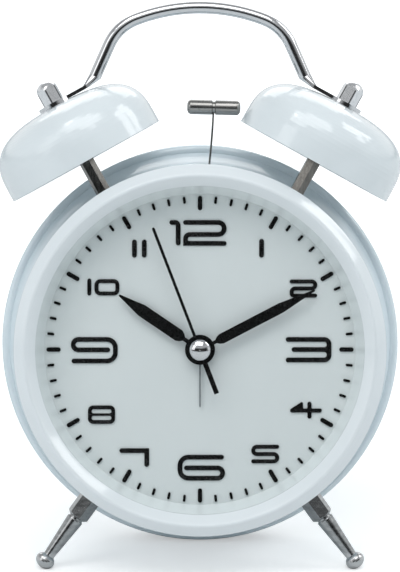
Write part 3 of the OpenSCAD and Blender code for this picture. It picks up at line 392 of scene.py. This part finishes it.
# Dial, track and hands
dialLook = {
    "card": sRgb(231, 236, 235),
    "cardLines": 1500,
    "cardStretch": (0.25, 1, 1),
    "cardClouds": 25,
    "cardRoughness": (0.42, 0.55),
    "cardBump": (0.06, 0.0001),
    "ink": sRgb(12, 13, 13),
    "inkRoughness": 0.28,
    "alarm": sRgb(120, 124, 126),
    "alarmRoughness": 0.35,
    "paintGrain": 2500,
    "paintBump": (0.08, 0.0001),
}


def satinCard():
    finish = Finish("dialCard", {"Specular IOR Level": 0.35})
    brushed = finish.noise(finish.place(scale=dialLook["cardStretch"]), dialLook["cardLines"], 3)
    cloud = finish.noise(finish.place(), dialLook["cardClouds"], 2)
    tone = brushed * 0.5 + cloud * 0.5
    finish.set("Base Color", finish.blend(tone, shade(dialLook["card"], 0.95), dialLook["card"]))
    finish.set("Roughness", cloud.spread(*dialLook["cardRoughness"]))
    finish.bump(brushed, *dialLook["cardBump"])
    return finish


def satinBlack(name, colour, roughness):
    finish = Finish(name, {"Specular IOR Level": 0.3})
    fine = finish.noise(finish.place(), dialLook["paintGrain"], 3)
    finish.set("Base Color", finish.blend(fine, colour, shade(colour, 1.6)))
    finish.set("Roughness", fine.spread(roughness - 0.06, roughness + 0.08))
    finish.bump(fine, *dialLook["paintBump"])
    return finish


dress(satinCard(), "dial")
blackInk = satinBlack("blackInk", dialLook["ink"], dialLook["inkRoughness"])
dress(blackInk, "minute_track", "hour_hand", "minute_hand", "second_hand")
dress(satinBlack("alarmHandGrey", dialLook["alarm"], dialLook["alarmRoughness"]), "alarm_hand")
print("dial done")

# Rounded outlines, in millimetres
cornerLook = {
    "chord": 0.1,  # length of the straights that make up a round corner
    "most": 8,  # straights in one corner or cap
    "nearest": 0.06,  # points closer than this to the one before are dropped
    "weld": 0.002,
}


def roundedPath(points, radii):  # a polyline whose inner corners are rounded to the given radii
    path = [Vector(points[0])]
    for index, radius in enumerate(radii, 1):
        here, before, after = (Vector(points[i]) for i in (index, index - 1, index + 1))
        if not radius:
            path.append(here)
            continue
        back, forth = (before - here).normalized(), (after - here).normalized()
        half = back.angle(forth) / 2
        reach = radius / math.tan(half)
        centre = here + (back + forth).normalized() * (radius / math.sin(half))
        start, end = here + back * reach - centre, here + forth * reach - centre
        sweep = start.angle_signed(end)
        steps = min(cornerLook["most"], max(2, round(radius * abs(sweep) / cornerLook["chord"])))
        path += [centre + Matrix.Rotation(-sweep * step / steps, 2) @ start for step in range(steps + 1)]
    path.append(Vector(points[-1]))
    kept = path[:1]
    for point in path[1:]:
        if (point - kept[-1]).length > cornerLook["nearest"]:
            kept.append(point)
    return kept


def drawnPath(points, radii, closed):  # the round-cornered points of an open line or of a loop
    if not closed:
        return roundedPath(points, radii)
    first = (Vector(points[0]) + Vector(points[-1])) / 2  # on a side, so that every corner is rounded
    return roundedPath([first, *points, first], radii)[:-1]


# The bezel as photographed: two nearly flat slopes that meet in a soft ridge, over the plain rounded CAD ring
bezelLook = {
    "slopes": [  # radius and depth from the dial, in millimetres
        (47.0, -7.75), (47.0, -8.45), (50.1, -11.5), (53.3, -8.45), (53.3, 2.5), (52.3, 2.5), (52.3, -7.75)],
    "rounding": (0.45, 0.85, 0.6, 0.2, 0.2),
    "facets": 240,
    "smooth": 35,  # degrees up to which an edge is shaded smooth
}


def weld():  # in edit mode: close the seams, turn the faces outwards and leave edit mode
    bpy.ops.mesh.remove_doubles(threshold=cornerLook["weld"])
    bpy.ops.mesh.normals_make_consistent(inside=False)
    bpy.ops.object.mode_set(mode="OBJECT")


def spun(name, section):  # a closed section turned about the dial's axis
    mesh = bpy.data.meshes.new(name)
    count = len(section)
    edges = [(k, (k + 1) % count) for k in range(count)]
    mesh.from_pydata([(point.x, point.y, 0) for point in section], edges, [])
    piece = bpy.data.objects.new(name, mesh)
    bpy.context.scene.collection.objects.link(piece)
    editWhole(piece)
    bpy.ops.mesh.spin(steps=bezelLook["facets"], angle=2 * math.pi, center=(0, 0, 0), axis=(0, 1, 0))
    bpy.ops.mesh.select_all(action="SELECT")
    weld()
    return piece


bezelRing = spun("bezel_ring", roundedPath(bezelLook["slopes"], bezelLook["rounding"]))
applyPlace(bezelRing, clockSpace())
smoothByAngle(bezelRing, bezelLook["smooth"])
bezelRing.data.materials.append(bezelEnamel.material)
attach(bezelRing, "clock")
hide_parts("bezel")
print("bezel done:", len(bezelRing.data.polygons), "faces")

# Numerals raised on the dial, drawn in millimetres about its centre
numeralLook = {
    "broad": 1.38,  # the two widths of stroke
    "fine": 1.16,
    "rise": 0.42,  # how far they stand on the card
    "sink": 0.06,  # and reach into it
    "merge": 0.02,  # points closer than this are joined where strokes cross
    "flat": 1,  # degrees up to which neighbouring faces become one
    "edge": 0.14,  # width of the rounding on their edges
    "edgeAngle": 50,  # degrees from which an edge is rounded
    "crumb": 0.003,  # edges shorter than this go after the rounding
    "smooth": 40,
}


def stroke(points, radii=()):
    return points, radii, False


def ring(left, right, low, high, radius):  # a rounded loop, closed
    return [(right, low), (right, high), (left, high), (left, low)], (radius,) * 4, True


def loop(points, radii):  # a closed outline with a radius for each corner
    return points, radii, True


drawnNumerals = {  # by the middle line of each stroke
    "twelve": ("broad", [
        stroke([(-8.1, 36.5), (-6.25, 36.5), (-6.25, 30.6)], (0.9,)),
        stroke([(-4.15, 36.5), (6.95, 36.5), (6.95, 33.05), (-4.15, 33.05), (-4.15, 30.5), (6.95, 30.5)],
               (1.72, 1.72, 1.25, 0))]),
    "one": ("broad", [stroke([(17.65, 31.1), (17.65, 27.1)])]),
    "two": ("fine", [
        stroke([(26.3, 19.55), (33.05, 19.55), (33.05, 17.55), (26.3, 17.55), (26.3, 15.5), (33.05, 15.5)],
               (0.98, 0.98, 1.0, 0.7))]),
    "five": ("fine", [
        stroke([(22.2, -28.0), (15.3, -28.0), (15.3, -30.1), (22.2, -30.1), (22.2, -32.2), (15.3, -32.2)],
               (1.04, 1.04, 1.04, 1.04))]),
    "six": ("broad", [
        stroke([(6.2, -31.0), (-5.75, -31.0), (-5.75, -37.05), (6.5, -37.05), (6.5, -34.1), (-3.9, -34.1)],
               (2.4, 2.4, 1.46, 1.46))]),
    "seven": ("broad", [stroke([(-22.5, -29.1), (-15.3, -29.1), (-15.3, -33.1)], (0,))]),
    "nine": ("broad", [
        stroke([(-26.5, -0.1), (-36.4, -0.1), (-36.4, 2.9), (-24.3, 2.9), (-24.3, -3.3), (-36.2, -3.3)],
               (1.49, 1.49, 2.4, 2.4))]),
    "ten": ("fine", [stroke([(-31.75, 19.85), (-31.75, 16.1)]), ring(-29.7, -23.7, 16.1, 19.65, 1.1)]),
    "eleven": ("broad", [stroke([(-18.8, 30.9), (-18.8, 27.1)]), stroke([(-16.0, 30.9), (-16.0, 27.1)])]),
}
outlinedNumerals = {  # by the outline and its holes
    "three": [loop(
        [(24.61, 3.59), (37.74, 3.59), (37.74, -3.69), (24.61, -3.69), (24.61, -2.31), (36.36, -2.31),
         (36.36, -0.69), (26.31, -0.69), (26.31, 0.69), (36.36, 0.69), (36.36, 2.21), (24.61, 2.21)],
        (0.68, 2.09, 2.09, 0.68, 0.68, 0.7, 0.7, 0.68, 0.68, 0.7, 0.7, 0.68))],
    "four": [loop(
        [(25.87, -18.13), (30.87, -18.13), (30.87, -19.88), (32.03, -19.88), (32.03, -18.13), (34.98, -18.13),
         (34.98, -16.97), (32.03, -16.97), (32.03, -15.02), (30.87, -15.02), (30.87, -16.97), (29.6, -16.97),
         (29.6, -14.78), (25.87, -17.21)],
        (0.45, 0.2, 0.56, 0.56, 0.2, 0.56, 0.56, 0.2, 0.56, 0.56, 0.2, 0.2, 0.4, 0.4))],
    "eight": [ring(-32.2, -24.4, -21.4, -16.08, 1.5), ring(-31.12, -25.48, -18.37, -17.2, 0.5),
              ring(-31.12, -25.48, -20.28, -19.11, 0.5)],
}


def strokeOutline(path, width, closed):  # both sides of the path, with round caps at its ends
    count = len(path)
    half = width / 2
    sides = []
    for index, point in enumerate(path):
        headings = []
        if closed or index < count - 1:
            headings.append((path[(index + 1) % count] - point).normalized())
        if closed or index:
            headings.append((point - path[index - 1]).normalized())
        heading = sum(headings, Vector((0, 0))).normalized()
        spread = 1 / max(0.5, heading.dot(headings[0]))
        sides.append((point, Vector((-heading.y, heading.x)) * half * spread))
    left = [point + normal for point, normal in sides]
    right = [point - normal for point, normal in sides]
    if closed:
        return [left, right]
    capTurns = [Matrix.Rotation(-math.pi * k / cornerLook["most"], 2) for k in range(1, cornerLook["most"])]
    (start, startNormal), (end, endNormal) = sides[0], sides[-1]
    return [left + [end + turn @ endNormal for turn in capTurns]
            + right[::-1] + [start - turn @ startNormal for turn in capTurns]]


def slab(outlines):  # a flat curve with its holes, filled, made a mesh as thick as the numerals
    low, high = -numeralLook["sink"], numeralLook["rise"]
    curve = bpy.data.curves.new("numeral", "CURVE")
    curve.dimensions = "2D"
    curve.fill_mode = "BOTH"
    curve.extrude = (high - low) / 2
    for outline in outlines:
        spline = curve.splines.new("POLY")
        spline.points.add(len(outline) - 1)
        for spot, point in zip(spline.points, outline):
            spot.co = (point.x, point.y, (high + low) / 2, 1)
        spline.use_cyclic_u = True
    piece = bpy.data.objects.new("numeral", curve)
    bpy.context.scene.collection.objects.link(piece)
    pick(piece)
    bpy.ops.object.convert(target="MESH")
    piece = bpy.context.object
    editWhole(piece)
    weld()
    return piece


def drawn(width, strokes):  # one numeral, its strokes united
    parts = [slab(strokeOutline(drawnPath(*line), width, line[-1])) for line in strokes]
    whole = parts[0]
    for part in parts[1:]:
        addModifier(whole, "BOOLEAN", {"operation": "UNION", "solver": "EXACT", "object": part})
        bpy.data.objects.remove(part)
    editWhole(whole)
    bpy.ops.mesh.remove_doubles(threshold=numeralLook["merge"])
    bpy.ops.mesh.dissolve_limited(angle_limit=math.radians(numeralLook["flat"]))
    bpy.ops.object.mode_set(mode="OBJECT")
    return whole


def raiseNumerals():
    raised = [drawn(numeralLook[width], strokes) for width, strokes in drawnNumerals.values()]
    raised += [slab([drawnPath(*outline) for outline in outlines]) for outlines in outlinedNumerals.values()]
    pick(raised[0])
    for piece in raised[1:]:
        piece.select_set(True)
    bpy.ops.object.join()
    piece = bpy.context.object
    piece.name = "dial_numerals"
    addModifier(piece, "BEVEL", {
        "width": numeralLook["edge"], "segments": 2, "limit_method": "ANGLE",
        "angle_limit": math.radians(numeralLook["edgeAngle"]), "use_clamp_overlap": False})
    editWhole(piece)
    bpy.ops.mesh.dissolve_degenerate(threshold=numeralLook["crumb"])
    bpy.ops.object.mode_set(mode="OBJECT")
    return piece


toClock = clockSpace().inverted()
dialFace = min((toClock @ vertex.co).y for vertex in nodes["dial"].data.vertices)
dialNumerals = raiseNumerals()
applyPlace(dialNumerals, dialSpace(dialFace))
smoothByAngle(dialNumerals, numeralLook["smooth"])
dialNumerals.data.materials.append(blackInk.material)
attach(dialNumerals, "clock")
print("numerals done:", len(dialNumerals.data.polygons), "faces")

# Lens: clear glass that lets the lamps' light through, with a faint gloss
lensLook = {"tint": (1, 1, 1, 1), "roughness": 0.01, "ior": 1.46, "smears": 60, "bump": (0.01, 0.0001)}


def clearLens():
    finish = Finish("lensGlass", {"Base Color": lensLook["tint"], "Roughness": lensLook["roughness"],
                                  "Transmission Weight": 1.0, "IOR": lensLook["ior"]})
    finish.bump(finish.noise(finish.place(), lensLook["smears"], 3), *lensLook["bump"])
    shadow, diffuse, glossy = finish.rays("Shadow", "Diffuse", "Glossy")
    glass = Signal(finish, finish.shader.outputs[0])
    through = finish.add("BsdfTransparent", {}, {"Color": lensLook["tint"]})
    lighting = shadow.larger(diffuse).larger(glossy)
    finish.feed(finish.output.inputs["Surface"], finish.fade(lighting, glass, through))
    return finish


dress(clearLens(), "glass")

# Moulded plastics
plastics = {
    "whiteMoulding": {"colour": sRgb(232, 236, 238), "roughness": 0.28, "nodes": (
        "back_cover", "battery_door")},
    "ringMoulding": {"colour": sRgb(238, 244, 244), "roughness": 0.14, "nodes": ("reflector_ring",)},
    "greyMoulding": {"colour": sRgb(98, 101, 104), "roughness": 0.45, "nodes": ("inner_frame",)},
    "blackMoulding": {"colour": sRgb(26, 27, 28), "roughness": 0.4, "nodes": (
        "movement_front", "movement_rear", "time_knob", "alarm_knob", "alarm_switch", "switch_body")},
    "creamAcetal": {"colour": sRgb(226, 218, 192), "roughness": 0.32, "nodes": (
        "seconds_wheel", "third_wheel", "centre_wheel", "cannon_pinion", "motion_wheel", "hour_wheel",
        "alarm_wheel", "intermediate_wheel", "rotor", "time_arbor", "alarm_arbor", "cam_wheel",
        "motor_pinion")},
}
mouldingLook = {"ior": 1.47, "flow": 90, "grain": 3500, "bump": (0.12, 0.00008)}


def moulded(name, look):
    finish = Finish(name, {"IOR": mouldingLook["ior"]})
    flow = finish.noise(finish.place(), mouldingLook["flow"], 3)
    grain = finish.noise(finish.place(), mouldingLook["grain"], 2)
    finish.set("Base Color", finish.blend(flow, shade(look["colour"], 0.975), look["colour"]))
    finish.set("Roughness", flow.spread(look["roughness"] - 0.02, look["roughness"] + 0.03))
    finish.bump(grain, *mouldingLook["bump"])
    return finish


for name, look in plastics.items():
    dress(moulded(name, look), *look["nodes"])

# Cell, coil, board and the plain metal parts inside
innerLook = {
    "sleeve": sRgb(120, 126, 133),
    "plusBand": sRgb(196, 150, 84),
    "bandWidth": 0.0085,
    "sleeveLines": 900,
    "wire": (sRgb(112, 58, 34), sRgb(196, 116, 70)),
    "wireScale": 900,
    "board": (sRgb(20, 84, 52), sRgb(38, 118, 74)),
    "boardScale": 320,
    "boardGrain": 500,
}


def cellSleeve():
    finish = Finish("cellSleeve", {"Metallic": 0.55, "Coat Weight": 0.5})
    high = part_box("battery")[1]
    band = finish.axis(finish.add("TexCoord", output="Object"), "X") > high[0] - innerLook["bandWidth"]
    sheen = finish.noise(finish.place(scale=(0.1, 1, 1)), innerLook["sleeveLines"], 2)
    finish.set("Base Color", finish.blend(band, innerLook["sleeve"], innerLook["plusBand"]))
    finish.set("Roughness", sheen.spread(0.28, 0.32))
    return finish


def woundCopper():
    finish = Finish("coilCopper", {"Metallic": 0.85})
    turns = finish.add("TexWave", {"wave_type": "BANDS", "bands_direction": "X"}, {
        "Vector": finish.place(), "Scale": innerLook["wireScale"], "Distortion": 0.3})
    finish.set("Base Color", finish.blend(turns, *innerLook["wire"]))
    finish.set("Roughness", turns.ramp(0.2, 0.8, 0.45, 0.28))
    finish.bump(turns, 0.5, 0.0001)
    return finish


def greenBoard():
    finish = Finish("boardGreen", {"Coat Weight": 0.4})
    tracks = finish.add("TexBrick", {"offset": 0.35}, {
        "Vector": finish.place(turn=(90, 0, 0)), "Scale": innerLook["boardScale"], "Mortar Size": 0.06,
        "Color1": (0, 0, 0, 1), "Color2": (0.2, 0.2, 0.2, 1), "Mortar": (1, 1, 1, 1)})
    finish.set("Base Color", finish.blend(tracks, *innerLook["board"]))
    finish.set("Roughness", finish.noise(finish.place(), innerLook["boardGrain"], 2).spread(0.3, 0.4))
    return finish


platedLook = dict(nickelLook, light=sRgb(196, 194, 188), dark=sRgb(150, 148, 143), roughness=0.3,
                  lines=1200, stretch=(1, 1, 1))
ironLook = dict(nickelLook, light=sRgb(120, 120, 122), dark=sRgb(90, 90, 93), roughness=0.4,
                lines=900, stretch=(1, 1, 1))
dress(cellSleeve(), "battery")
dress(woundCopper(), "drive_coil")
dress(greenBoard(), "circuit_board")
dress(turnedNickel("platedSteel", platedLook),
      "contact_plus", "contact_minus", "cover_screws", "movement_screws", "quartz_crystal", "alarm_motor")
dress(turnedNickel("softIron", ironLook), "stator")
print("finishes done")

# Camera at the photograph's angle
cameraLook = {
    "elevation": 15.8,  # degrees above the horizontal, seen from the dial's centre
    "distance": 1.095,  # metres from the dial's centre
    "focalPixels": 3804,  # focal length in pixels of the frame
    "frame": (400, 572),
    "dialPixel": (200, 349),  # where the dial's centre stands in the frame
    "sensor": 36,
    "clip": (0.05, 20),
}


def addCamera():
    data = bpy.data.cameras.new("camera")
    camera = bpy.data.objects.new("camera", data)
    bpy.context.scene.collection.objects.link(camera)
    width, height = cameraLook["frame"]
    data.sensor_fit = "HORIZONTAL"
    data.sensor_width = cameraLook["sensor"]
    data.lens = cameraLook["sensor"] * cameraLook["focalPixels"] / width
    data.clip_start, data.clip_end = cameraLook["clip"]
    raised = math.radians(cameraLook["elevation"])
    camera.location = dialCentre + Vector((0, -math.cos(raised), math.sin(raised))) * cameraLook["distance"]
    dialX, dialY = cameraLook["dialPixel"]
    drop = math.atan((dialY - height / 2) / cameraLook["focalPixels"])
    side = math.atan((dialX - width / 2) / cameraLook["focalPixels"])
    camera.rotation_euler = (math.pi / 2 - raised + drop, 0, side)
    bpy.context.scene.camera = camera


addCamera()

# Studio: a pale floor, soft boxes and two window lights, and a dark room in front that chrome mirrors
studio = {
    "floor": 0.86,
    "floorSize": 12,
    "glow": 0.4,  # what the camera adds to the floor near the clock, so that it is white beside the shadow
    "glowEdge": (0.25, 1.2),  # metres from the clock over which the floor turns plain white
    "floorGrain": 30,
    "ambient": (0.32, 0.375, 0.405, 1),  # what matt surfaces get from all round
    "room": (0.03, 0.03, 0.03, 1),
    "haze": (0.9, 0.92, 0.93, 1),  # what metal and glass mirror at the horizon
    "zenith": (0.42, 0.43, 0.44, 1),
    "skyRise": (0.15, 0.75),  # how steeply up a ray points as haze gives way to zenith
    "roomFront": (0.2, 0.6),  # how far to the front it points as the sky gives way to the dark room
    "roomTop": (0.32, 0.55),  # and how steeply up as the room gives way to the sky above it
    "boxes": [  # place, size, radiance
        ((-0.1, -0.6, 1.3), (1.3, 0.8), 2.3),
        ((-0.95, -0.7, 0.6), (0.5, 0.8), 1.3),
        ((0.0, 1.2, 0.9), (1.4, 0.8), 1.3),
    ],
    "windows": [  # place, size of one pane, gap, panes across, radiance
        ((1.0, 0.12, 0.95), (0.3, 0.62), 0.03, 2, 3.2),
        ((-0.55, -0.35, 1.05), (0.12, 0.5), 0.02, 1, 2.8),
    ],
}


def addSoftBox(name, place, size, radiance):
    data = bpy.data.lights.new(name, "AREA")
    data.shape = "RECTANGLE"
    data.size, data.size_y = size
    data.energy = radiance * math.pi * size[0] * size[1]
    box = bpy.data.objects.new(name, data)
    bpy.context.scene.collection.objects.link(box)
    box.location = place
    box.rotation_euler = (dialCentre - box.location).to_track_quat("-Z", "Y").to_euler()
    box.visible_camera = False


def addWindow(name, place, size, gap, count, radiance):
    middle = Vector(place)
    across = (dialCentre - middle).cross(Vector((0, 0, 1))).normalized() * (size[0] + gap)
    for pane in range(count):
        addSoftBox("%s_%d" % (name, pane), middle + across * (pane - (count - 1) / 2), size, radiance)


for index, box in enumerate(studio["boxes"]):
    addSoftBox("softBox%d" % index, *box)
for index, window in enumerate(studio["windows"]):
    addWindow("window%d" % index, *window)


def paleFloor():
    finish = Finish("floorPale", {"Specular IOR Level": 0.0, "Emission Strength": 1.0,
                                  "Base Color": (studio["floor"],) * 3 + (1,)})
    finish.set("Roughness", finish.noise(finish.place(), studio["floorGrain"], 2).spread(0.8, 0.9))
    spot = finish.add("TexCoord", output="Object")
    away = finish.add("VectorMath", {"operation": "LENGTH"}, {0: spot}, output="Value")
    glow = finish.blend(away.ramp(*studio["glowEdge"]), (studio["glow"],) * 3 + (1,), (1, 1, 1, 1))
    seen = finish.rays("Camera")[0]
    finish.set("Emission Color", finish.blend(seen, (0, 0, 0, 1), glow))
    return finish


bpy.ops.mesh.primitive_plane_add(size=studio["floorSize"], location=(0, 0, 0))
floor = bpy.context.object
floor.name = "floor"
floor.data.materials.append(paleFloor().material)


def surround():
    world = bpy.data.worlds.new("studio")
    bpy.context.scene.world = world
    world.use_nodes = True
    kit = NodeKit(world.node_tree)
    kit.tree.nodes.remove(kit.tree.nodes["Background"])
    white, room, ambient, haze, zenith = (kit.add("Background", {}, {"Color": colour}) for colour in (
        (1, 1, 1, 1), studio["room"], studio["ambient"], studio["haze"], studio["zenith"]))
    seen, mirrored, through = kit.rays("Camera", "Glossy", "Transmission")
    heading = kit.add("TexCoord", output="Generated")
    back, up = kit.axis(heading, "Y"), kit.axis(heading, "Z")
    dark = (0 - back).ramp(*studio["roomFront"]) * up.ramp(*studio["roomTop"], 1, 0)
    sky = kit.fade(up.ramp(*studio["skyRise"]), haze, zenith)
    lit = kit.fade(mirrored.larger(through), ambient, kit.fade(dark, sky, room))
    kit.feed(kit.tree.nodes["World Output"].inputs["Surface"], kit.fade(seen, lit, white))


surround()
bpy.context.scene.view_settings.view_transform = "Standard"
print("studio done")
